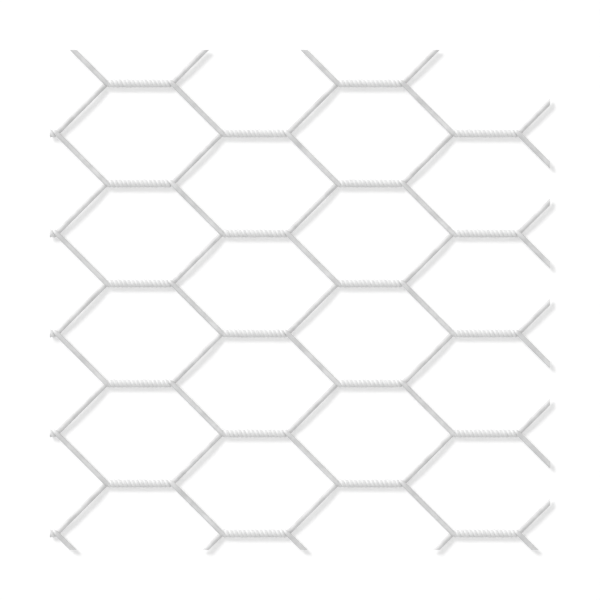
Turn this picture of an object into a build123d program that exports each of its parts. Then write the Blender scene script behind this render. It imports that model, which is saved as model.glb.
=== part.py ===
from build123d import *
import os
from functools import cache
from math import ceil, cos, floor, pi, sin

# A flat square piece of hexagonal wire netting, cut from a roll.
# The wires run along X and are twisted in turn with the neighbour on each side.
# The origin is under the middle of the piece, on the surface it lies on, +Z up.

# Mesh, in millimetres
mesh_width = 25.0          # across the wires, between two joints of one column
mesh_repeat = 57.7         # along the wires, between two joints of one row
twist_length = 17.8        # along a joint, between the points where its wires leave it
wire_diameter = 1.25
strand_clearance = 0.04    # between the two wires of a joint

# Where the piece is sheared out of the netting, in millimetres
piece_length = 125.0       # along the wires
piece_width = 125.0        # across the wires
first_joint_inset = 22.35  # from the left edge to the middle of the first whole joint
first_row_inset = 8.35     # from the top edge to the first row of joints

# A round wire is drawn with few sides, and its turns with short straight steps
wire_sides = 6
steps_per_turn = 6

wire_radius = wire_diameter / 2
# Halfway along a step the strands are nearest, and there the clearance still holds
strand_radius = (wire_radius + strand_clearance / 2) / cos(pi / steps_per_turn)
# Two round wires that touch can't be twisted tighter than this
tightest_pitch = pi * (wire_diameter + strand_clearance)
turns = max(1, floor(twist_length / tightest_pitch))
# The joints rest on the surface at the steps where a strand is lowest
lowest_step = max(sin(2 * pi * step / steps_per_turn) for step in range(steps_per_turn))
mid_height = strand_radius * lowest_step + wire_radius

left_edge = -piece_length / 2
top_edge = piece_width / 2
column_pitch = mesh_repeat / 2
row_pitch = mesh_width / 2
rows = floor((piece_width - first_row_inset) / row_pitch) + 1


def column_x(column):
    """The middle of a joint column, with column 1 the first whole one from the left."""
    return left_edge + first_joint_inset + (column - 1) * column_pitch


def row_y(row):
    """A row of joints, with row 1 the first below the top edge."""
    return top_edge - first_row_inset - (row - 1) * row_pitch


def joint_row(lane, column):
    """The row where the wire of a lane is twisted: above it or below it, in turn."""
    return lane + (lane + column) % 2


def strand_points(lane, column):
    """The steps of one wire through one joint, right-handed, in whole turns."""
    row = joint_row(lane, column)
    start_angle = 0 if row > lane else pi
    steps = turns * steps_per_turn
    for step in range(steps + 1):
        angle = start_angle + 2 * pi * step / steps_per_turn
        yield Vector(
            column_x(column) + twist_length * (step / steps - 0.5),
            row_y(row) + strand_radius * cos(angle),
            mid_height + strand_radius * sin(angle),
        )


def joint_is_inside(lane, column):
    """Whether the sheared piece keeps any of this joint."""
    across = abs(row_y(joint_row(lane, column))) < piece_width / 2
    along = abs(column_x(column)) < (piece_length + twist_length) / 2
    return across and along


def wire_columns(lane):
    """The unbroken runs of joint columns that hold the wires of a lane."""
    columns_left = ceil((first_joint_inset + twist_length) / column_pitch)
    columns_right = ceil((piece_length + twist_length) / column_pitch)
    runs = [[]]
    for column in range(-columns_left, columns_right + 1):
        if joint_is_inside(lane, column):
            runs[-1].append(column)
        elif runs[-1]:
            runs.append([])
    return [tuple(run) for run in runs if run]


def wire_path(lane, columns):
    """The centre line, with the slanting run before the first joint and after the last."""
    before = list(strand_points(lane, columns[0] - 1))[-1]
    after = list(strand_points(lane, columns[-1] + 1))[0]
    points = [before]
    for column in columns:
        points += strand_points(lane, column)
    return points + [after]


def mitred_sections(points):
    """The wire's corners at each point, on the plane that halves the bend there."""
    runs = [(b - a).normalized() for a, b in zip(points, points[1:])]
    start = Plane(origin=points[0], z_dir=runs[0])
    corners = [
        start.from_local_coords(Vector(wire_radius, 0).rotate(Axis.Z, 360 * side / wire_sides))
        for side in range(wire_sides)
    ]
    sections = [corners]
    for point, run, next_run in zip(points[1:], runs, runs[1:] + runs[-1:]):
        halving = run + next_run
        corners = [c + run * ((point - c).dot(halving) / run.dot(halving)) for c in corners]
        sections.append(corners)
    return sections


def flat_face(corners):
    return Face(Wire.make_polygon(corners))


@cache
def bent_wire(lane, columns):
    """A wire as it is bent in the netting, longer than the piece at both ends."""
    sections = mitred_sections(wire_path(lane, columns))
    faces = [flat_face(sections[0]), flat_face(sections[-1])]
    for near, far in zip(sections, sections[1:]):
        for side in range(wire_sides):
            next_side = (side + 1) % wire_sides
            faces.append(flat_face([near[side], near[next_side], far[next_side], far[side]]))
    return Solid(Shell(faces))


def sheared_wire(lane, columns):
    """One wire from edge to edge of the piece, the same in every other lane."""
    first_lane = lane % 2
    lanes_down = Pos(0, row_y(lane) - row_y(first_lane), 0)
    blank = Box(piece_length, piece_width, 4 * mid_height)
    return ((lanes_down * bent_wire(first_lane, columns)) & blank).solid()


def wire_name(lane, columns):
    """A wire along an edge goes by the joint column that holds it, and the rest by their lane."""
    if lane == 0:
        return f"top_edge_wire_{columns[0]}"
    if lane == rows:
        return f"bottom_edge_wire_{columns[0]}"
    return f"line_wire_{lane}"


def netting_wires():
    """Every wire of the piece by name, from the top edge down and from left to right."""
    runs = [(lane, columns) for lane in range(rows + 1) for columns in wire_columns(lane)]
    return {wire_name(lane, columns): sheared_wire(lane, columns) for lane, columns in runs}


os.makedirs("parts", exist_ok=True)
for name, wire in netting_wires().items():
    wire.label = name
    export_step(wire, f"parts/{name}.step")
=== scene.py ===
"""The looks of a flat piece of galvanised hexagonal wire netting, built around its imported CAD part.

The netting is made of separate wires. Each runs along X in a zigzag and is twisted in turn with the
wire on either side of it. Every wire here replaces the plain solid of the same wire, in its place.
All lengths are in metres.
"""

import logging
import math
from dataclasses import dataclass, field
from enum import Enum

import bmesh
import bpy
import numpy as np
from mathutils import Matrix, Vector


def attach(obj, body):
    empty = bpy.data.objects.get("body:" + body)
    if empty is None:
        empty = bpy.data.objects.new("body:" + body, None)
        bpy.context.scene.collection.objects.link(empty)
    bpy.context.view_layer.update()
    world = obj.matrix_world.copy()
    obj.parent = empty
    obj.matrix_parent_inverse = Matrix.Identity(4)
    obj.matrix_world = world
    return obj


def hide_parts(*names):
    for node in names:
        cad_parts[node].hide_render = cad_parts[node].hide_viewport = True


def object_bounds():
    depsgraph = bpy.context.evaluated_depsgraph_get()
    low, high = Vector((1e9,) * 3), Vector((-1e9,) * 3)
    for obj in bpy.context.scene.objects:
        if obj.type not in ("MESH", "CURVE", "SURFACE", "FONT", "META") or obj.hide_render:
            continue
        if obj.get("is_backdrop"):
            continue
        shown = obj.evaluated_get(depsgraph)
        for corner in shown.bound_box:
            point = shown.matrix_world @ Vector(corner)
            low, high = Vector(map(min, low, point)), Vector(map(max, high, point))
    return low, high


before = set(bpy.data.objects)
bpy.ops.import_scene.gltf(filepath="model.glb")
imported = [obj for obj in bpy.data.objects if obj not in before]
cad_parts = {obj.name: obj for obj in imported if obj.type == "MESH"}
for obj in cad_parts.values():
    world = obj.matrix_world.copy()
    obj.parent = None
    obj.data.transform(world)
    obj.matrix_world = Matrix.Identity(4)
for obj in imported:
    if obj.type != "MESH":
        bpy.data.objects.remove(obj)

LOG = logging.getLogger("netting")
MM = 0.001

Colour = tuple[float, float, float, float]
Feed = bpy.types.NodeSocket | float | tuple[float, ...]


def grey(shade: float) -> Colour:
    """A plain neutral grey, from 0 for black to 1 for white."""
    return (shade, shade, shade, 1.0)


class Partner(Enum):
    """Which of the two wires of a joint a wire is, as the angle at which it enters the twist."""

    UPPER = 0.0
    LOWER = math.pi


class PieceEdge(Enum):
    """The four sheared edges of the piece, as the outward direction of each."""

    LEFT = (-1.0, 0.0, 0.0)
    RIGHT = (1.0, 0.0, 0.0)
    BOTTOM = (0.0, -1.0, 0.0)
    TOP = (0.0, 1.0, 0.0)


class SurfaceSlot(Enum):
    """The places of the finishes among a wire's material slots."""

    ZINC = 0
    SHEARED_END = 1


class SkinMark(Enum):
    """What a wire's skin tells the finishes, as the names of its attributes.

    STRAIGHT_WIRE is the place on the wire as it was before it was bent: along X from its start, and
    Y and Z across it. JOINT is 1 in a twist, and GROOVE is 1 in the groove between its two wires.
    """

    STRAIGHT_WIRE = "straight_wire"
    JOINT = "joint"
    # The groove mask serves only the shade that the zinc finish paints into the grooves of the twists.
    GROOVE = "groove"


def ease(value: np.ndarray) -> np.ndarray:
    """Goes from 0 to 1 without a jolt at either end.

    Args:
        value: where each point is along the change, 0 at its start and 1 at its end.

    Returns:
        The eased share of the change, held at 0 before it and at 1 after it.
    """
    share = np.clip(value, 0.0, 1.0)
    return share * share * (3.0 - 2.0 * share)


@dataclass(frozen=True)
class NettingPattern:
    """The pattern that every wire of the netting follows, and where the piece is sheared out of it.

    Columns of joints are counted from the left, with column 1 the first whole one. Rows are counted
    from the top edge down, and a wire's lane has the number of the row above it.
    """

    low: Vector
    high: Vector
    mesh_width: float = 25.0 * MM
    mesh_repeat: float = 57.7 * MM
    wire_diameter: float = 1.25 * MM
    first_joint_inset: float = 22.35 * MM
    first_row_inset: float = 8.35 * MM

    @property
    def wire_radius(self) -> float:
        """Half the wire's diameter."""
        return self.wire_diameter / 2

    @property
    def mid_height(self) -> float:
        """The height of the wires' centre lines, halfway up the netting."""
        return (self.low.z + self.high.z) / 2

    def column_x(self, column: int) -> float:
        """The middle of a joint column."""
        return self.low.x + self.first_joint_inset + (column - 1) * self.mesh_repeat / 2

    def row_y(self, row: int) -> float:
        """The centre line of a row of joints."""
        return self.high.y - self.first_row_inset - (row - 1) * self.mesh_width / 2

    def joint(self, lane: int, column: int) -> "TwistedJoint":
        """The joint that holds the wire of a lane at a column: above the lane or below it, in turn.

        Args:
            lane: the wire's lane.
            column: the joint column.

        Returns:
            The joint, as that wire takes part in it.
        """
        row = lane + (lane + column) % 2
        partner = Partner.UPPER if row > lane else Partner.LOWER
        return TwistedJoint(self, self.column_x(column), self.row_y(row), partner)


@dataclass(frozen=True)
class BentLine:
    """A wire's centre line, ring by ring.

    It holds the rings' centres, the wire's direction in plan at each, and how far the wire has
    turned about its own length there.
    """

    centres: np.ndarray
    headings: np.ndarray
    turns: np.ndarray

    def joined(self, other: "BentLine", spacing: float) -> "BentLine":
        """Runs straight on to another line, which starts where this one points.

        Args:
            other: the line to run on to.
            spacing: the longest step along X between the rings of the straight run.

        Returns:
            Both lines and the run between them, as one.
        """
        whole_turn = 2 * math.pi
        turns_apart = round((self.turns[-1] - other.turns[0]) / whole_turn)
        other_turns = other.turns + whole_turn * turns_apart
        start, end = self.centres[-1], other.centres[0]
        count = int((end[0] - start[0]) / spacing)
        share = np.linspace(0.0, 1.0, count + 2)[1:-1]
        run_turns = self.turns[-1] + (other_turns[0] - self.turns[-1]) * share
        return BentLine(
            np.concatenate((self.centres, start + (end - start) * share[:, None], other.centres)),
            np.concatenate((self.headings, np.full(count, self.headings[-1]), other.headings)),
            np.concatenate((self.turns, run_turns, other_turns)),
        )

    def between(self, low_x: float, high_x: float) -> "BentLine":
        """Takes the part of the line between two places along X."""
        kept = (self.centres[:, 0] > low_x) & (self.centres[:, 0] < high_x)
        return BentLine(self.centres[kept], self.headings[kept], self.turns[kept])


@dataclass(frozen=True)
class TwistedJoint:
    """One twisted joint, as one of its two wires takes part in it.

    The wire runs straight until it crosses the joint's axis, over its partner or under it. From
    there to the crossing at the other end it turns about the axis. The two wires are drawn so tight
    that they press into each other. The flats where they meet lie on one plane, which turns with
    the twist.
    """

    pattern: NettingPattern
    middle_x: float
    row_y: float
    partner: Partner
    turns: int = 8
    crossing: float = 8.18 * MM
    start_length: float = 0.9 * MM
    start_pace: float = 0.6
    strand_radius: float = 0.40 * MM
    waist: float = 0.96 * MM
    waist_power: float = 12.0
    waist_length: float = 1.6 * MM
    half_seam: float = 0.004 * MM
    soft_edge: float = 0.05 * MM
    groove_width: float = 0.32 * MM
    lift_hold: float = 0.5 * MM
    lift_length: float = 4.0 * MM
    flat_hold: float = 0.46 * MM
    flat_end_slope: float = 2.0
    heading_length: float = 0.9 * MM
    close_reach: float = 1.0 * MM
    rings_per_turn: int = 22
    ramp_rings: int = 7
    angle_samples: int = 2001

    @property
    def side(self) -> float:
        """The side of the joint that the wire comes from, +1 for above it and -1 for below it."""
        return math.cos(self.partner.value)

    @property
    def slant(self) -> float:
        """The angle in plan between the joint's axis and the straight wire past the joint."""
        run = self.pattern.mesh_repeat / 2 - 2 * self.crossing
        return math.atan2(self.pattern.mesh_width / 2, run)

    def stations(self) -> np.ndarray:
        """Spreads the rings of this joint along X, close together where the wires meet.

        Returns:
            The place of each ring.
        """
        close = self.crossing + self.close_reach
        count = round(self.turns * self.rings_per_turn * close / self.crossing)
        ramp = np.linspace(close, self.crossing + self.lift_length, self.ramp_rings + 1)[1:]
        near = np.linspace(-close, close, count + 1)
        return self.middle_x + np.concatenate((-ramp[::-1], near, ramp))

    def outside(self, x: np.ndarray) -> np.ndarray:
        """How far past the nearer crossing each place is, below zero between the crossings."""
        return np.abs(x - self.middle_x) - self.crossing

    def angle(self, x: np.ndarray) -> np.ndarray:
        """How far the wire has turned about the joint's axis, from +Y towards +Z.

        Args:
            x: places along X.

        Returns:
            The angles in radians. The wire starts and stops turning gently at the crossings.
        """
        fine = np.linspace(-self.crossing, self.crossing, self.angle_samples)
        started = ease(-self.outside(fine + self.middle_x) / self.start_length)
        pace = self.start_pace + (1 - self.start_pace) * started
        turned = np.concatenate(([0.0], np.cumsum((pace[1:] + pace[:-1]) / 2)))
        turned *= (2 * self.turns - 1) * math.pi / turned[-1]
        return self.partner.value + math.pi / 2 + np.interp(x - self.middle_x, fine, turned)

    def twisted_centre(self, x: np.ndarray) -> tuple[np.ndarray, np.ndarray]:
        """Finds the wire's centre in the twist.

        Args:
            x: places along X.

        Returns:
            The centre at each of them, as places along Y and along Z.
        """
        angle = self.angle(x)
        y = self.row_y + self.strand_radius * np.cos(angle)
        z = self.pattern.mid_height + self.strand_radius * np.sin(angle) * self.lift(x)
        return y, z

    def lift(self, x: np.ndarray) -> np.ndarray:
        """The share of its height over or under its partner that the wire keeps, 1 in the twist."""
        return 1.0 - ease((self.outside(x) - self.lift_hold) / (self.lift_length - self.lift_hold))

    def square_on(self, x: np.ndarray) -> np.ndarray:
        """How far the rings have turned to stand square to the slant: 0 inside and 1 outside."""
        return ease((self.outside(x) + self.heading_length / 2) / self.heading_length)

    def bent_line(self) -> BentLine:
        """Follows the wire through the twist and onto the slants at both ends of it.

        Returns:
            The wire's centre line there.
        """
        x = self.stations()
        y, z = self.twisted_centre(x)
        slanting = self.row_y + self.side * math.tan(self.slant) * self.outside(x)
        y = np.where(self.outside(x) > 0, slanting, y)
        headings = np.sign(x - self.middle_x) * self.side * self.slant * self.square_on(x)
        return BentLine(np.column_stack((x, y, z)), headings, self.angle(x))

    def run_out(self, points: np.ndarray) -> np.ndarray:
        """How far along the slant each place is past the nearer crossing, below zero inside."""
        aside = self.side * (points[:, 1] - self.row_y)
        return self.outside(points[:, 0]) * math.cos(self.slant) + aside * math.sin(self.slant)

    def about_axis(self, points: np.ndarray) -> tuple[np.ndarray, np.ndarray]:
        """Measures places from the plane where the two wires meet, which turns with the twist.

        Args:
            points: places on the wire's skin, one to a row.

        Returns:
            How far each is from the plane, on the wire's own side of it, and how far it is from the
            joint's axis along the plane.
        """
        angle = self.angle(points[:, 0])
        across, up = np.cos(angle), np.sin(angle)
        y, z = points[:, 1] - self.row_y, points[:, 2] - self.pattern.mid_height
        return y * across + z * up, z * across - y * up

    def press_flat(self, points: np.ndarray) -> np.ndarray:
        """Keeps the wire's skin on its own side of the plane where it meets its partner.

        Args:
            points: places on the wire's skin, one to a row.

        Returns:
            The same places, with those past the plane brought back onto it.
        """
        past = self.run_out(points) - self.flat_hold
        near = past < self.pattern.wire_radius
        away, aside = self.about_axis(points[near])
        above = away - self.half_seam + np.maximum(past[near], 0.0) * self.flat_end_slope
        away = away + (np.sqrt(above**2 + self.soft_edge**2) - above) / 2
        spread = self.spread(points[near, 0], away, aside)
        away, aside = away * spread, aside * spread
        angle = self.angle(points[near, 0])
        pressed = points.copy()
        pressed[near, 1] = self.row_y + away * np.cos(angle) - aside * np.sin(angle)
        pressed[near, 2] = self.pattern.mid_height + away * np.sin(angle) + aside * np.cos(angle)
        return pressed

    def inside(self, x: np.ndarray) -> np.ndarray:
        """How much each place is part of the twist: 0 outside and 1 a little way inside."""
        return ease(-self.outside(x) / self.start_length)

    def groove(self, points: np.ndarray) -> np.ndarray:
        """How deep in the groove between the two wires each place is.

        Args:
            points: places on the wire's skin, one to a row.

        Returns:
            A number for each, from 0 on the wire's back to 1 where it meets its partner.
        """
        away, _ = self.about_axis(points)
        return ease(1.0 - away / self.groove_width) * self.inside(points[:, 0])

    def spread(self, x: np.ndarray, away: np.ndarray, aside: np.ndarray) -> np.ndarray:
        """How far the pressed wire and its zinc spread outwards to fill the groove of the twist.

        Args:
            x: places along X.
            away: how far each place on the skin is from the plane where the wires meet.
            aside: how far it is from the joint's axis, along that plane.

        Returns:
            What each place's distance from the axis is multiplied by, 1 where nothing changes.
        """
        round_off = np.arctan2(np.abs(aside), away)
        radius, centre = self.pattern.wire_radius, self.strand_radius
        bare = centre * np.cos(round_off) + np.sqrt(radius**2 - (centre * np.sin(round_off)) ** 2)
        filled = (bare**self.waist_power + self.waist**self.waist_power) ** (1 / self.waist_power)
        share = ease(-self.outside(x) / self.waist_length)
        return 1.0 + (filled / bare - 1.0) * share


@dataclass
class NodeBench:
    """A node tree in the making, of a finish or of an effect."""

    tree: bpy.types.NodeTree

    def node(self, kind: str, inputs: dict[int | str, Feed], **settings: object) -> bpy.types.Node:
        """Adds a node.

        Args:
            kind: the node's type.
            inputs: what goes into its sockets: the output of another node, or a fixed value.
            **settings: its own settings.

        Returns:
            The node.
        """
        node = self.tree.nodes.new(kind)
        for name, value in settings.items():
            setattr(node, name, value)
        for socket, feed in inputs.items():
            if isinstance(feed, bpy.types.NodeSocket):
                self.tree.links.new(feed, node.inputs[socket])
            else:
                node.inputs[socket].default_value = feed
        return node

    def math(self, operation: str, first: Feed, second: Feed = 0.0) -> bpy.types.NodeSocket:
        """Works out one sum of two values."""
        return self.node("ShaderNodeMath", {0: first, 1: second}, operation=operation).outputs[0]

    def average(self, first: Feed, second: Feed) -> bpy.types.NodeSocket:
        """Takes the middle between two values."""
        return self.math("MULTIPLY", self.math("ADD", first, second), 0.5)

    def scaled(self, value: Feed, low: float, high: float) -> bpy.types.NodeSocket:
        """Turns a mask into a value that is low where the mask is 0, and high where it is 1."""
        inputs = {"Value": value, "To Min": low, "To Max": high}
        return self.node("ShaderNodeMapRange", inputs).outputs["Result"]

    def ramp(
        self, value: Feed, start: Feed, end: Feed, curve: str = "LINEAR"
    ) -> bpy.types.NodeSocket:
        """Makes a mask that is 0 where a value is at its start, and 1 where it is at its end."""
        inputs = {"Value": value, "From Min": start, "From Max": end}
        return self.node("ShaderNodeMapRange", inputs, interpolation_type=curve).outputs["Result"]

    def stretched(self, place: Feed, factors: Feed) -> bpy.types.NodeSocket:
        """Stretches a place along each axis by a factor of its own."""
        inputs = {0: place, 1: factors}
        return self.node("ShaderNodeVectorMath", inputs, operation="MULTIPLY").outputs[0]

    def noise(
        self, place: Feed, scale: Feed, detail: float, roughness: Feed
    ) -> bpy.types.NodeSocket:
        """Makes a cloudy noise."""
        inputs = {"Vector": place, "Scale": scale, "Detail": detail, "Roughness": roughness}
        return self.node("ShaderNodeTexNoise", inputs).outputs[0]

    def bump(self, height: Feed, relief: float) -> bpy.types.NodeSocket:
        """Turns a mask into relief, as high as is given where the mask is 1."""
        return self.node("ShaderNodeBump", {"Height": height, "Distance": relief}).outputs["Normal"]

    def mix(
        self, share: bpy.types.NodeSocket, first: bpy.types.Node, second: bpy.types.Node
    ) -> bpy.types.Node:
        """Mixes two shaders."""
        inputs = {0: share, 1: first.outputs[0], 2: second.outputs[0]}
        return self.node("ShaderNodeMixShader", inputs)

    def blend(
        self, share: Feed, first: Feed, second: Feed, how: str = "MIX"
    ) -> bpy.types.NodeSocket:
        """Blends two colours."""
        inputs = {0: share, 6: first, 7: second}
        return self.node("ShaderNodeMix", inputs, data_type="RGBA", blend_type=how).outputs[2]

    def read(self, mark: SkinMark) -> bpy.types.Node:
        """Reads what the skin tells."""
        return self.node("ShaderNodeAttribute", {}, attribute_name=mark.value)

    def place(self) -> bpy.types.NodeSocket:
        """Reads the place on the wire as it was before it was bent."""
        return self.read(SkinMark.STRAIGHT_WIRE).outputs["Vector"]

    def effect(self, effect: "SurfaceEffect", **inputs: Feed) -> bpy.types.NodeSocket:
        """Places an effect.

        Args:
            effect: the effect.
            **inputs: its values here.

        Returns:
            The effect's mask.
        """
        node = self.node("ShaderNodeGroup", {}, node_tree=effect.group())
        for name, value in inputs.items():
            node.inputs[name].default_value = value
        return node.outputs["Mask"]


@dataclass(frozen=True)
class SurfaceEffect:
    """An effect that the finishes share, as a node group that puts out a mask from 0 to 1."""

    name: str
    inputs: tuple[tuple[str, str], ...]

    def group(self) -> bpy.types.NodeTree:
        """The effect's node group, which is built where it is first used.

        Returns:
            The group.
        """
        group = bpy.data.node_groups.get(self.name)
        if group is None:
            group = bpy.data.node_groups.new(self.name, "ShaderNodeTree")
            for name, kind in self.inputs:
                group.interface.new_socket(name, in_out="INPUT", socket_type=kind)
            group.interface.new_socket("Mask", in_out="OUTPUT", socket_type="NodeSocketFloat")
            bench = NodeBench(group)
            given = bench.node("NodeGroupInput", {})
            bench.node("NodeGroupOutput", {"Mask": self.mask(bench, given.outputs)})
        return group

    def mask(self, bench: NodeBench, given: bpy.types.NodeOutputs) -> bpy.types.NodeSocket:
        """Builds the effect's mask.

        Args:
            bench: the group in the making.
            given: the group's inputs.

        Returns:
            The mask.
        """
        raise NotImplementedError


@dataclass(frozen=True)
class DrawnLines(SurfaceEffect):
    """Fine lines one way, as a die leaves along a wire and a blade leaves across its end."""

    name: str = "drawn_lines"
    inputs: tuple[tuple[str, str], ...] = (("Stretch", "NodeSocketVector"),)
    detail: float = 2.0
    roughness: float = 0.5
    limits: tuple[float, float] = (0.3, 0.7)

    def mask(self, bench: NodeBench, given: bpy.types.NodeOutputs) -> bpy.types.NodeSocket:
        """Builds the lines from a noise that is stretched much more one way than the others."""
        place = bench.stretched(bench.place(), given["Stretch"])
        return bench.ramp(bench.noise(place, 1.0, self.detail, self.roughness), *self.limits)


@dataclass(frozen=True)
class Mottle(SurfaceEffect):
    """Cloudy patches where the zinc lies thicker or thinner, or the steel is coarser or finer."""

    name: str = "mottle"
    inputs: tuple[tuple[str, str], ...] = (
        ("Scale", "NodeSocketFloat"),
        ("Roughness", "NodeSocketFloat"),
    )
    detail: float = 5.0
    limits: tuple[float, float] = (0.32, 0.68)

    def mask(self, bench: NodeBench, given: bpy.types.NodeOutputs) -> bpy.types.NodeSocket:
        """Builds the patches from a cloudy noise along the wire."""
        noise = bench.noise(bench.place(), given["Scale"], self.detail, given["Roughness"])
        return bench.ramp(noise, *self.limits, curve="SMOOTHSTEP")


@dataclass(frozen=True)
class Beads(SurfaceEffect):
    """Scattered small round spots: beads of zinc on the skin, and torn grains in a sheared end."""

    name: str = "beads"
    inputs: tuple[tuple[str, str], ...] = (
        ("Scale", "NodeSocketFloat"),
        ("Size", "NodeSocketFloat"),
    )

    def mask(self, bench: NodeBench, given: bpy.types.NodeOutputs) -> bpy.types.NodeSocket:
        """Builds the spots round the points of a scattered pattern, each with a soft edge.

        Args:
            bench: the group in the making.
            given: the group's inputs.

        Returns:
            The mask.
        """
        inputs = {"Vector": bench.place(), "Scale": given["Scale"]}
        distance = bench.node("ShaderNodeTexVoronoi", inputs).outputs["Distance"]
        return bench.ramp(distance, given["Size"], 0.0, curve="SMOOTHSTEP")


@dataclass(frozen=True)
class ZincFinish:
    """The galvanised skin of the wires: pale neutral grey and satin, and lighter in the twists."""

    name: str = "galvanised_zinc"
    light_zinc: Colour = grey(0.78)
    dark_zinc: Colour = grey(0.64)
    twist_zinc: Colour = grey(0.91)
    twist_cover: float = 0.8
    # Painted shade: deep in the groove of a twist, the zinc's colour is darkened to this share.
    groove_painted_shade: float = 0.90
    line_shade: float = 0.90
    metallic: float = 0.05
    specular: float = 0.35
    smoothest: float = 0.55
    roughest: float = 0.75
    patch_scale: float = 260.0
    patch_roughness: float = 0.6
    line_stretch: tuple[float, float, float] = (90.0, 7000.0, 7000.0)
    bead_scale: float = 700.0
    bead_size: float = 0.22
    line_relief: float = 0.4
    relief: float = 0.03 * MM

    def material(self) -> bpy.types.Material:
        """Builds the finish.

        Returns:
            The material.
        """
        material = bpy.data.materials.new(self.name)
        material.use_nodes = True
        bench = NodeBench(material.node_tree)
        patches = bench.effect(Mottle(), Scale=self.patch_scale, Roughness=self.patch_roughness)
        lines = bench.effect(DrawnLines(), Stretch=self.line_stretch)
        beads = bench.effect(Beads(), Scale=self.bead_scale, Size=self.bead_size)
        shader = material.node_tree.nodes["Principled BSDF"]
        shader.inputs["Metallic"].default_value = self.metallic
        shader.inputs["Specular IOR Level"].default_value = self.specular
        links = material.node_tree.links
        links.new(self.colour(bench, patches, lines), shader.inputs["Base Color"])
        rough = bench.average(patches, lines)
        links.new(bench.scaled(rough, self.smoothest, self.roughest), shader.inputs["Roughness"])
        drawn = bench.math("MULTIPLY", lines, self.line_relief)
        height = bench.math("ADD", bench.math("ADD", drawn, patches), beads)
        links.new(bench.bump(height, self.relief), shader.inputs["Normal"])
        return material

    def colour(
        self,
        bench: NodeBench,
        patches: bpy.types.NodeSocket,
        lines: bpy.types.NodeSocket,
    ) -> bpy.types.NodeSocket:
        """Mixes the zinc's colour, with shade painted into the grooves of the twists.

        Args:
            bench: the finish in the making.
            patches: the mask of the patches.
            lines: the mask of the drawn lines.

        Returns:
            The colour.
        """
        zinc = bench.blend(patches, self.dark_zinc, self.light_zinc)
        cover = bench.scaled(patches, self.twist_cover, 1.0)
        twisted = bench.math("MULTIPLY", bench.read(SkinMark.JOINT).outputs["Fac"], cover)
        zinc = bench.blend(twisted, zinc, self.twist_zinc)
        # Painted shade: the colour darkens towards the groove between the two wires of a twist.
        groove = bench.scaled(bench.read(SkinMark.GROOVE).outputs["Fac"], 1.0, self.groove_painted_shade)
        zinc = bench.blend(1.0, zinc, groove, "MULTIPLY")
        return bench.blend(1.0, zinc, bench.scaled(lines, self.line_shade, 1.0), "MULTIPLY")


@dataclass(frozen=True)
class ShearedEndFinish:
    """A wire's end: bright steel with the lines of the blade, and a thin ring of zinc round it."""

    name: str = "sheared_end"
    steel: Colour = grey(0.50)
    torn_steel: Colour = grey(0.34)
    zinc: Colour = grey(0.77)
    zinc_from: float = 0.90
    wire_radius: float = 0.625 * MM
    metallic: float = 0.6
    smoothest: float = 0.30
    roughest: float = 0.55
    patch_scale: float = 2500.0
    patch_roughness: float = 0.7
    line_stretch: tuple[float, float, float] = (0.0, 16000.0, 900.0)
    grain_scale: float = 9000.0
    grain_size: float = 0.5
    relief: float = 0.015 * MM

    def material(self) -> bpy.types.Material:
        """Builds the finish.

        Returns:
            The material.
        """
        material = bpy.data.materials.new(self.name)
        material.use_nodes = True
        bench = NodeBench(material.node_tree)
        patches = bench.effect(Mottle(), Scale=self.patch_scale, Roughness=self.patch_roughness)
        lines = bench.effect(DrawnLines(), Stretch=self.line_stretch)
        grains = bench.effect(Beads(), Scale=self.grain_scale, Size=self.grain_size)
        shader = material.node_tree.nodes["Principled BSDF"]
        shader.inputs["Metallic"].default_value = self.metallic
        links = material.node_tree.links
        steel = bench.blend(bench.math("MULTIPLY", patches, lines), self.torn_steel, self.steel)
        links.new(bench.blend(self.zinc_ring(bench), steel, self.zinc), shader.inputs["Base Color"])
        links.new(bench.scaled(patches, self.smoothest, self.roughest), shader.inputs["Roughness"])
        height = bench.math("ADD", lines, bench.math("MULTIPLY", grains, patches))
        links.new(bench.bump(height, self.relief), shader.inputs["Normal"])
        return material

    def zinc_ring(self, bench: NodeBench) -> bpy.types.NodeSocket:
        """Finds the ring of zinc by how far a place is from the wire's centre.

        Args:
            bench: the finish in the making.

        Returns:
            A mask that is 1 in the zinc and 0 in the steel.
        """
        across = bench.stretched(bench.place(), (0.0, 1.0, 1.0))
        length = bench.node("ShaderNodeVectorMath", {0: across}, operation="LENGTH")
        zinc_from = self.zinc_from * self.wire_radius
        return bench.ramp(length.outputs["Value"], zinc_from, self.wire_radius)


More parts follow.
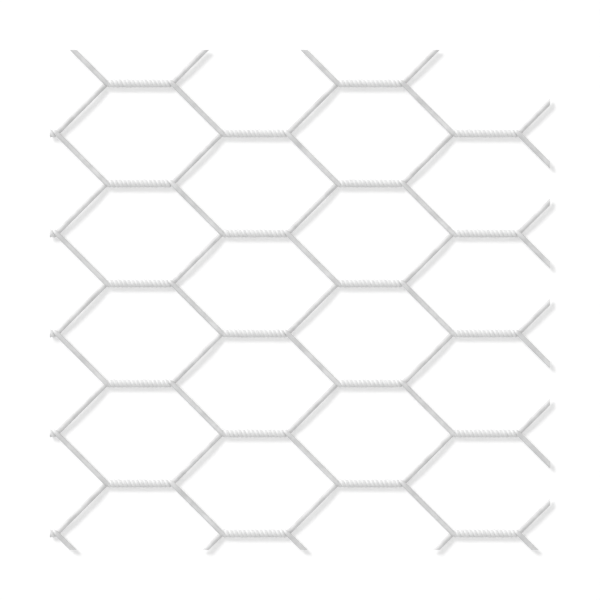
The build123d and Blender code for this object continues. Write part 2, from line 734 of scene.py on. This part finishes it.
@dataclass
class NettingWire:
    """One wire of the netting, from edge to edge of the piece."""

    pattern: NettingPattern
    lane: int
    columns: list[int]
    node: str
    sides: int = 28
    ring_spacing: float = 1.0 * MM
    lane_shift: float = 0.2
    sharp_angle: float = math.radians(50.0)

    @property
    def joints(self) -> list[TwistedJoint]:
        """The joints that hold the wire, from left to right, and one more past each end."""
        columns = [self.columns[0] - 1, *self.columns, self.columns[-1] + 1]
        return [self.pattern.joint(self.lane, column) for column in columns]

    def bent_line(self) -> BentLine:
        """Follows the wire along its slants and joints, as far as the middles of its outer joints.

        Returns:
            The wire's centre line, which ends outside the piece.
        """
        joints = self.joints
        line = joints[0].bent_line()
        for joint in joints[1:]:
            line = line.joined(joint.bent_line(), self.ring_spacing)
        return line.between(joints[0].middle_x, joints[-1].middle_x)

    def build(self) -> bpy.types.Object:
        """Builds the wire's skin and shears it off at the piece's edges.

        Returns:
            The wire as a mesh object.
        """
        line = self.bent_line()
        around = 2 * math.pi * np.arange(self.sides) / self.sides
        spin = line.turns[:, None] + around[None, :]
        lateral = self.pattern.wire_radius * np.cos(spin)
        upward = self.pattern.wire_radius * np.sin(spin)
        skin = np.empty((*spin.shape, 3))
        skin[:, :, 0] = line.centres[:, None, 0] - lateral * np.sin(line.headings)[:, None]
        skin[:, :, 1] = line.centres[:, None, 1] + lateral * np.cos(line.headings)[:, None]
        skin[:, :, 2] = line.centres[:, None, 2] + upward
        points = skin.reshape(-1, 3)
        for joint in self.joints:
            points = joint.press_flat(points)
        mesh = bpy.data.meshes.new(f"zinc_{self.node}")
        mesh.from_pydata(points.tolist(), [], self.faces(len(skin)))
        self.mark(mesh, points, line.centres, around)
        self.shear(mesh)
        piece = bpy.data.objects.new(f"zinc_{self.node}", mesh)
        bpy.context.scene.collection.objects.link(piece)
        return piece

    def faces(self, rings: int) -> list[tuple[int, int, int, int]]:
        """Joins each ring of the skin to the next.

        Args:
            rings: how many rings there are.

        Returns:
            The faces, as the numbers of their corners.
        """
        faces = []
        for ring in range(rings - 1):
            for side in range(self.sides):
                near = ring * self.sides + side
                near_next = ring * self.sides + (side + 1) % self.sides
                faces.append((near, near_next, near_next + self.sides, near + self.sides))
        return faces

    def mark(
        self,
        mesh: bpy.types.Mesh,
        points: np.ndarray,
        centres: np.ndarray,
        around: np.ndarray,
    ) -> None:
        """Writes on the skin what the finishes need to know of each place.

        Args:
            mesh: the wire's skin, changed in place.
            points: the places of its corners.
            centres: the centres of its rings.
            around: the angle of each corner of a ring.
        """
        steps = np.linalg.norm(np.diff(centres, axis=0), axis=1)
        along = np.concatenate(([0.0], np.cumsum(steps))) + self.lane * self.lane_shift
        ring = np.column_stack((np.zeros(self.sides), np.cos(around), np.sin(around)))
        straight = np.tile(self.pattern.wire_radius * ring, (len(centres), 1))
        straight[:, 0] = np.repeat(along, self.sides)
        self.write(mesh, SkinMark.STRAIGHT_WIRE, straight)
        joints = self.joints
        twisted = np.max([joint.inside(points[:, 0]) for joint in joints], axis=0)
        groove = np.max([joint.groove(points) for joint in joints], axis=0)
        self.write(mesh, SkinMark.JOINT, twisted)
        self.write(mesh, SkinMark.GROOVE, groove)

    def write(self, mesh: bpy.types.Mesh, mark: SkinMark, values: np.ndarray) -> None:
        """Adds one attribute to the corners of the skin.

        Args:
            mesh: the wire's skin, changed in place.
            mark: what the attribute tells.
            values: a number or a vector for each corner.
        """
        kind, entry = ("FLOAT_VECTOR", "vector") if values.ndim > 1 else ("FLOAT", "value")
        layer = mesh.attributes.new(mark.value, kind, "POINT")
        layer.data.foreach_set(entry, values.astype(np.float32).ravel())

    def shear(self, mesh: bpy.types.Mesh) -> None:
        """Cuts the wire off along the piece's edges and closes its ends.

        Args:
            mesh: the wire's skin, changed in place.
        """
        work = bmesh.new()
        work.from_mesh(mesh)
        for edge in PieceEdge:
            corner = self.pattern.high if sum(edge.value) > 0 else self.pattern.low
            cut = bmesh.ops.bisect_plane(
                work,
                geom=[*work.verts, *work.edges, *work.faces],
                plane_co=corner,
                plane_no=edge.value,
                clear_outer=True,
            )
            rim = [item for item in cut["geom_cut"] if isinstance(item, bmesh.types.BMEdge)]
            if rim:
                ends = bmesh.ops.edgenet_fill(work, edges=rim)["faces"]
                for end in ends:
                    end.material_index = SurfaceSlot.SHEARED_END.value
        bmesh.ops.recalc_face_normals(work, faces=work.faces)
        work.to_mesh(mesh)
        work.free()
        mesh.shade_smooth()
        mesh.set_sharp_from_angle(angle=self.sharp_angle)

    def dress(self, piece: bpy.types.Object, finishes: list[bpy.types.Material]) -> None:
        """Gives the wire its finishes and its place on the body.

        Args:
            piece: the wire.
            finishes: its materials, in the order of SurfaceSlot.
        """
        for finish in finishes:
            piece.data.materials.append(finish)
        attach(piece, "root")
        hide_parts(self.node)
        LOG.info("%s stands for %s, with %d faces", piece.name, self.node, len(piece.data.polygons))


@dataclass
class WireNetting:
    """The whole piece of netting."""

    pattern: NettingPattern
    first_column: int = 0
    last_column: int = 4
    rows: int = 10
    wires: list[NettingWire] = field(default_factory=list)

    def lay_out(self) -> None:
        """Lists the wires from the top edge down."""
        every_column = list(range(self.first_column, self.last_column + 1))
        for column in every_column:
            if column % 2:
                self.wires.append(NettingWire(self.pattern, 0, [column], f"top_edge_wire_{column}"))
            else:
                node = f"bottom_edge_wire_{column}"
                self.wires.append(NettingWire(self.pattern, self.rows, [column], node))
        for lane in range(1, self.rows):
            self.wires.append(NettingWire(self.pattern, lane, every_column, f"line_wire_{lane}"))

    def build(self, finishes: list[bpy.types.Material]) -> None:
        """Builds and dresses every wire.

        Args:
            finishes: the materials, in the order of SurfaceSlot.
        """
        self.lay_out()
        for wire in self.wires:
            wire.dress(wire.build(), finishes)


@dataclass(frozen=True)
class SoftLamp:
    """One distant soft lamp, with its angles in degrees and its light as a share of plain white."""

    name: str
    elevation: float
    azimuth: float
    spread: float
    strength: float
    shadow: bool = True
    distance: float = 1.5

    def hang(self) -> None:
        """Puts the lamp in the scene, turned to the origin."""
        lamp = bpy.data.lights.new(self.name, "SUN")
        lamp.use_shadow = self.shadow
        lamp.angle = math.radians(self.spread)
        lamp.energy = self.strength * math.pi
        holder = bpy.data.objects.new(self.name, lamp)
        azimuth, elevation = math.radians(self.azimuth), math.radians(self.elevation)
        direction = Vector((
            math.cos(azimuth) * math.cos(elevation),
            math.sin(azimuth) * math.cos(elevation),
            math.sin(elevation),
        ))
        holder.location = direction * self.distance
        holder.rotation_euler = direction.to_track_quat("Z", "Y").to_euler()
        bpy.context.scene.collection.objects.link(holder)


@dataclass(frozen=True)
class PhotoStudio:
    """The floor, light and camera: netting on a white floor, seen from straight above.

    The key lamp throws the shadows. The low lamps are wide and throw none: one lights the sides
    that face the key lamp, and a weak one the sides that face away from it. The floor lights the
    netting from below by its own albedo, and shows with another one and a glow, so that it stands
    white in the light and keeps its shadows.
    """

    shown_width: float = 150.0 * MM
    lens: float = 300.0
    sensor: float = 36.0
    floor_size: float = 4.0
    floor_drop: float = 0.7 * MM
    lamps: tuple[SoftLamp, ...] = (
        SoftLamp("key", elevation=52.0, azimuth=135.0, spread=18.0, strength=0.34),
        SoftLamp("side", elevation=15.0, azimuth=132.0, spread=40.0, strength=0.36, shadow=False),
        SoftLamp("reflector", elevation=20.0, azimuth=315.0, spread=40.0, strength=0.10, shadow=False),
    )
    fill_strength: float = 0.57
    floor_albedo: float = 0.88
    shown_glow: float = 0.11
    shown_albedo: float = 0.96

    def camera(self, pattern: NettingPattern) -> None:
        """Hangs the camera over the middle of the netting, with the piece's top edge up.

        Args:
            pattern: the netting's pattern, for its height.
        """
        data = bpy.data.cameras.new("camera")
        data.lens = self.lens
        data.sensor_width = self.sensor
        camera = bpy.data.objects.new("camera", data)
        distance = self.shown_width * self.lens / self.sensor
        camera.location = (0.0, 0.0, pattern.mid_height + distance)
        bpy.context.scene.collection.objects.link(camera)
        bpy.context.scene.camera = camera

    def seen_directly(self, bench: NodeBench) -> bpy.types.NodeSocket:
        """Tells the rays that show a thing, seen or mirrored or through glass, from the rest.

        Args:
            bench: a material or the world in the making.

        Returns:
            A value that is 1 for the camera's, glossy and transmitted rays, and 0 for the rest.
        """
        path = bench.node("ShaderNodeLightPath", {}).outputs
        mirrored = bench.math("MAXIMUM", path["Is Glossy Ray"], path["Is Transmission Ray"])
        return bench.math("MAXIMUM", path["Is Camera Ray"], mirrored)

    def world(self) -> None:
        """Fills in from all round, and stands white behind the object."""
        world = bpy.data.worlds.new("studio")
        bpy.context.scene.world = world
        world.use_nodes = True
        world.node_tree.nodes.clear()
        bench = NodeBench(world.node_tree)
        white = grey(1.0)
        fill = bench.node("ShaderNodeBackground", {"Color": white, "Strength": self.fill_strength})
        backdrop = bench.node("ShaderNodeBackground", {"Color": white, "Strength": 1.0})
        shown = bench.mix(self.seen_directly(bench), fill, backdrop)
        bench.node("ShaderNodeOutputWorld", {"Surface": shown.outputs[0]})

    def floor_finish(self) -> bpy.types.Material:
        """Builds the floor's white: it shows with a light shadow on it, and not at all from below.

        Returns:
            The material.
        """
        material = bpy.data.materials.new("white_floor")
        material.use_nodes = True
        material.node_tree.nodes.clear()
        bench = NodeBench(material.node_tree)
        plain = bench.node("ShaderNodeBsdfDiffuse", {"Color": grey(self.floor_albedo)})
        shaded = bench.node("ShaderNodeBsdfDiffuse", {"Color": grey(self.shown_albedo)})
        glow = bench.node("ShaderNodeEmission", {"Strength": self.shown_glow})
        shown = bench.node("ShaderNodeAddShader", {0: shaded.outputs[0], 1: glow.outputs[0]})
        from_above = bench.mix(self.seen_directly(bench), plain, shown)
        clear = bench.node("ShaderNodeBsdfTransparent", {})
        underside = bench.node("ShaderNodeNewGeometry", {}).outputs["Backfacing"]
        both_sides = bench.mix(underside, from_above, clear)
        bench.node("ShaderNodeOutputMaterial", {"Surface": both_sides.outputs[0]})
        return material

    def floor(self) -> None:
        """Lays the white floor."""
        mesh = bpy.data.meshes.new("floor")
        half = self.floor_size / 2
        corners = [(-half, -half), (half, -half), (half, half), (-half, half)]
        mesh.from_pydata([(x, y, -self.floor_drop) for x, y in corners], [], [(0, 1, 2, 3)])
        mesh.materials.append(self.floor_finish())
        floor = bpy.data.objects.new("floor", mesh)
        bpy.context.scene.collection.objects.link(floor)
        floor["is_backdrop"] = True

    def set_up(self, pattern: NettingPattern) -> None:
        """Builds the whole studio.

        Args:
            pattern: the netting's pattern, for the camera.
        """
        bpy.context.scene.view_settings.view_transform = "Standard"
        self.camera(pattern)
        for lamp in self.lamps:
            lamp.hang()
        self.world()
        self.floor()


def main() -> None:
    """Builds the studio and the netting."""
    logging.basicConfig(level=logging.INFO, format="%(name)s: %(message)s")
    cad_low, cad_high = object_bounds()
    pattern = NettingPattern(cad_low, cad_high)
    PhotoStudio().set_up(pattern)
    WireNetting(pattern).build([ZincFinish().material(), ShearedEndFinish().material()])


if __name__ == "__main__":
    main()
